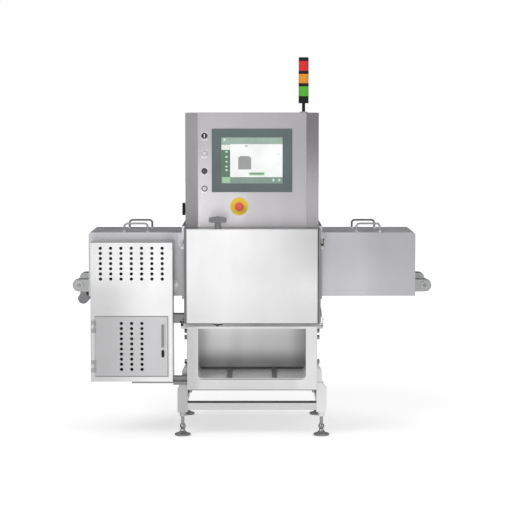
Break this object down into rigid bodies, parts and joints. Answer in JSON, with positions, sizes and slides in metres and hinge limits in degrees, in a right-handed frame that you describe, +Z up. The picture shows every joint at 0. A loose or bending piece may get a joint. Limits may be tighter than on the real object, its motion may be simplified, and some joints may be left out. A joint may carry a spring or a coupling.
{
  "type": "conveyor inspection machine",
  "caption": "Free-standing conveyor inspection machine with screen head, shielded tunnels, front door, reject bin, signal lamps and levelling feet.",
  "frame": {"origin": "on the floor, under the middle of the machine", "axes": "+X along the conveyor to the infeed end, +Y from the front to the back, +Z up"},
  "size_m": [1.7998, 0.861, 1.878],
  "materials": {
    "stainless": "bead blasted",
    "polished_steel": "ground",
    "bezel": "satin",
    "screen": "gloss",
    "black_plastic": "satin",
    "white_plastic": "satin",
    "ring_metal": "satin",
    "yellow_plastic": "satin",
    "red_plastic": "satin",
    "lamp_red": "gloss",
    "lamp_amber": "gloss",
    "lamp_green": "gloss",
    "belt": "matte",
    "curtain_rubber": "matte",
    "tank_paint": "satin",
    "cast_alloy": "cast",
    "units": "matte"
  },
  "bodies": {
    "frame": {"amber_lamp": "lamp_amber", "bay_bolts": "polished_steel", "bay_liner": "stainless", "bay_shell": "stainless", "beam_guide": "tank_paint", "bin_body": "stainless", "bin_hinges": "stainless", "bin_supports": "stainless", "button_bezels": "ring_metal", "cabinet_shell": "stainless", "control_units": "units", "conveyor_beds": "stainless", "conveyor_belts": "belt", "conveyor_frames": "stainless", "door_fittings": "stainless", "estop_legend": "yellow_plastic", "gearmotors": "cast_alloy", "green_lamp": "lamp_green", "head_rear_cover": "stainless", "head_shell": "stainless", "hmi_bezel": "bezel", "hmi_display": "screen", "isolator_base": "black_plastic", "latch_bases": "polished_steel", "leg_rails": "stainless", "legs": "stainless", "line_detector": "cast_alloy", "red_lamp": "lamp_red", "reject_actuator": "cast_alloy", "roller_bearings": "polished_steel", "signal_tower": "black_plastic", "source_tank": "tank_paint", "tunnel_frames": "stainless"},
    "front_door": {"front_door": "stainless"},
    "lock_rod": {"lock_rod": "polished_steel"},
    "bin_latch": {"bin_latch": "black_plastic"},
    "left_hood": {"left_hood": "stainless"},
    "right_hood": {"right_hood": "stainless"},
    "left_curtain": {"left_curtain": "curtain_rubber"},
    "right_curtain": {"right_curtain": "curtain_rubber"},
    "left_upper_latch": {"left_upper_latch": "ring_metal"},
    "left_lower_latch": {"left_lower_latch": "ring_metal"},
    "right_upper_latch": {"right_upper_latch": "ring_metal"},
    "right_lower_latch": {"right_lower_latch": "ring_metal"},
    "main_drive_roller": {"main_drive_roller": "polished_steel"},
    "main_tail_roller": {"main_tail_roller": "polished_steel"},
    "reject_drive_roller": {"reject_drive_roller": "polished_steel"},
    "reject_tail_roller": {"reject_tail_roller": "polished_steel"},
    "key_switch": {"key_switch": "polished_steel"},
    "start_button": {"start_button": "white_plastic"},
    "stop_button": {"stop_button": "black_plastic"},
    "reset_button": {"reset_button": "white_plastic"},
    "estop_button": {"estop_button": "red_plastic"},
    "isolator_knob": {"isolator_knob": "black_plastic"},
    "front_left_foot": {"front_left_foot": "polished_steel"},
    "front_right_foot": {"front_right_foot": "polished_steel"},
    "rear_left_foot": {"rear_left_foot": "polished_steel"},
    "rear_right_foot": {"rear_right_foot": "polished_steel"},
    "reject_arm": {"reject_arm": "polished_steel"},
    "bin_door": {"bin_door": "stainless"}
  },
  "joints": [
    {"name": "door_swing", "type": "hinge", "parent": "frame", "child": "front_door", "pos_m": [0.331, -0.396, 0.802], "axis": [0, 0, 1], "range_deg": [0, 110]},
    {"name": "lock_rod_turn", "type": "hinge", "parent": "front_door", "child": "lock_rod", "pos_m": [-0.168, -0.406, 0.802], "axis": [0, 0, 1], "range_deg": [0, 90]},
    {"name": "bin_door_swing", "type": "hinge", "parent": "frame", "child": "bin_door", "pos_m": [-0.7715, -0.4285, 0.453], "axis": [0, 0, -1], "range_deg": [0, 120]},
    {"name": "bin_latch_turn", "type": "hinge", "parent": "bin_door", "child": "bin_latch", "pos_m": [-0.438, -0.424, 0.422], "axis": [0, -1, 0], "range_deg": [0, 90]},
    {"name": "left_hood_lift", "type": "slide", "parent": "frame", "child": "left_hood", "axis": [0, 0, 1], "range_m": [0, 0.35]},
    {"name": "left_curtain_swing", "type": "hinge", "parent": "left_hood", "child": "left_curtain", "pos_m": [-0.792, 0, 0.978], "axis": [0, 1, 0], "range_deg": [-30, 30]},
    {"name": "left_upper_latch_turn", "type": "hinge", "parent": "frame", "child": "left_upper_latch", "pos_m": [-0.346, -0.36, 0.94], "axis": [0, -1, 0], "range_deg": [0, 110]},
    {"name": "left_lower_latch_turn", "type": "hinge", "parent": "frame", "child": "left_lower_latch", "pos_m": [-0.346, -0.36, 0.546], "axis": [0, -1, 0], "range_deg": [0, 110]},
    {"name": "right_hood_lift", "type": "slide", "parent": "frame", "child": "right_hood", "axis": [0, 0, 1], "range_m": [0, 0.35]},
    {"name": "right_curtain_swing", "type": "hinge", "parent": "right_hood", "child": "right_curtain", "pos_m": [0.792, 0, 0.978], "axis": [0, -1, 0], "range_deg": [-30, 30]},
    {"name": "right_upper_latch_turn", "type": "hinge", "parent": "frame", "child": "right_upper_latch", "pos_m": [0.346, -0.36, 0.94], "axis": [0, 1, 0], "range_deg": [0, 110]},
    {"name": "right_lower_latch_turn", "type": "hinge", "parent": "frame", "child": "right_lower_latch", "pos_m": [0.346, -0.36, 0.546], "axis": [0, 1, 0], "range_deg": [0, 110]},
    {"name": "main_drive_turn", "type": "hinge", "parent": "frame", "child": "main_drive_roller", "pos_m": [-0.402, 0, 0.7397], "axis": [0, 1, 0], "continuous": true},
    {"name": "main_tail_turn", "type": "hinge", "parent": "frame", "child": "main_tail_roller", "pos_m": [0.867, 0, 0.7397], "axis": [0, 1, 0], "continuous": true},
    {"name": "reject_drive_turn", "type": "hinge", "parent": "frame", "child": "reject_drive_roller", "pos_m": [-0.867, 0, 0.7397], "axis": [0, 1, 0], "continuous": true},
    {"name": "reject_tail_turn", "type": "hinge", "parent": "frame", "child": "reject_tail_roller", "pos_m": [-0.4546, 0, 0.7397], "axis": [0, 1, 0], "continuous": true},
    {"name": "reject_arm_swing", "type": "hinge", "parent": "frame", "child": "reject_arm", "pos_m": [-0.49, 0.212, 0.819], "axis": [0, 0, 1], "range_deg": [0, 55]},
    {"name": "key_turn", "type": "hinge", "parent": "frame", "child": "key_switch", "pos_m": [-0.2365, -0.235, 1.48696], "axis": [0, 1, 0], "range_deg": [0, 90]},
    {"name": "start_button_press", "type": "slide", "parent": "frame", "child": "start_button", "axis": [0, 1, 0], "range_m": [0, 0.0025], "stiffness_N_per_m": 800, "springref_m": -0.001},
    {"name": "stop_button_press", "type": "slide", "parent": "frame", "child": "stop_button", "axis": [0, 1, 0], "range_m": [0, 0.0025], "stiffness_N_per_m": 800, "springref_m": -0.001},
    {"name": "reset_button_press", "type": "slide", "parent": "frame", "child": "reset_button", "axis": [0, 1, 0], "range_m": [0, 0.0025], "stiffness_N_per_m": 800, "springref_m": -0.001},
    {"name": "estop_press", "type": "slide", "parent": "frame", "child": "estop_button", "axis": [0, 1, 0], "range_m": [0, 0.005]},
    {"name": "isolator_turn", "type": "hinge", "parent": "frame", "child": "isolator_knob", "pos_m": [-0.34, -0.06, 1.114], "axis": [-1, 0, 0], "range_deg": [0, 90]},
    {"name": "front_left_foot_level", "type": "slide", "parent": "frame", "child": "front_left_foot", "axis": [0, 0, 1], "range_m": [-0.03, 0]},
    {"name": "front_right_foot_level", "type": "slide", "parent": "frame", "child": "front_right_foot", "axis": [0, 0, 1], "range_m": [-0.03, 0]},
    {"name": "rear_left_foot_level", "type": "slide", "parent": "frame", "child": "rear_left_foot", "axis": [0, 0, 1], "range_m": [-0.03, 0]},
    {"name": "rear_right_foot_level", "type": "slide", "parent": "frame", "child": "rear_right_foot", "axis": [0, 0, 1], "range_m": [-0.03, 0]}
  ],
  "couplings": [
    {"joint": "main_tail_turn", "follows": "main_drive_turn", "ratio": 1},
    {"joint": "reject_tail_turn", "follows": "reject_drive_turn", "ratio": 1}
  ]
}
